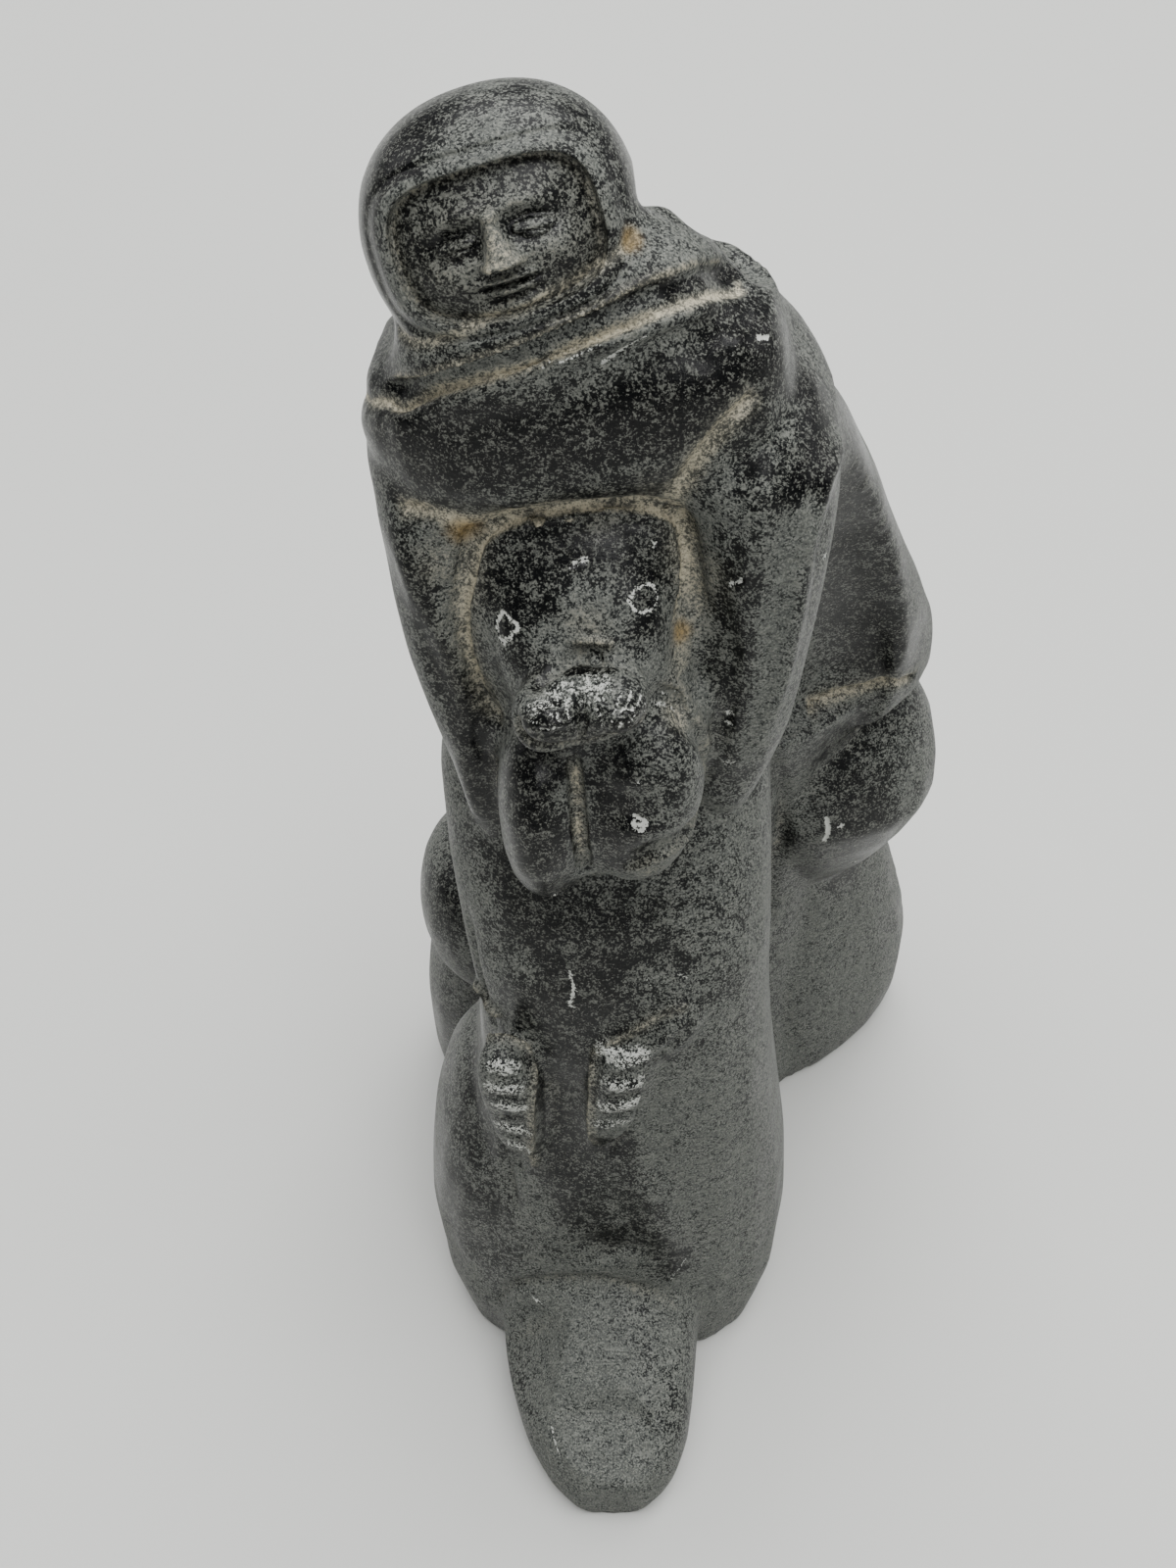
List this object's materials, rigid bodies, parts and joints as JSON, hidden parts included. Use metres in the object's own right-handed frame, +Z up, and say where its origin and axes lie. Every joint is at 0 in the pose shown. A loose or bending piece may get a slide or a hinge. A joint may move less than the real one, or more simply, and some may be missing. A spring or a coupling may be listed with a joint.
{
  "type": "stone carving of a hunter with a seal",
  "caption": "Dark soapstone carving of a hunter in a hooded parka who holds a seal upright by its chin, resting on its own flat underside.",
  "frame": {"origin": "bottom centre of the bounding box, on the plane of the flat underside", "axes": "+Z up, -Y towards the viewer whom the hunter and the seal face, +X to that viewer's right"},
  "size_m": [0.0736, 0.101, 0.1864],
  "materials": {
    "soapstone": "dark grey speckled soapstone, hand polished to a satin sheen, duller near the ground"
  },
  "bodies": {
    "root": {"hunter_carving": "soapstone"}
  },
  "joints": []
}
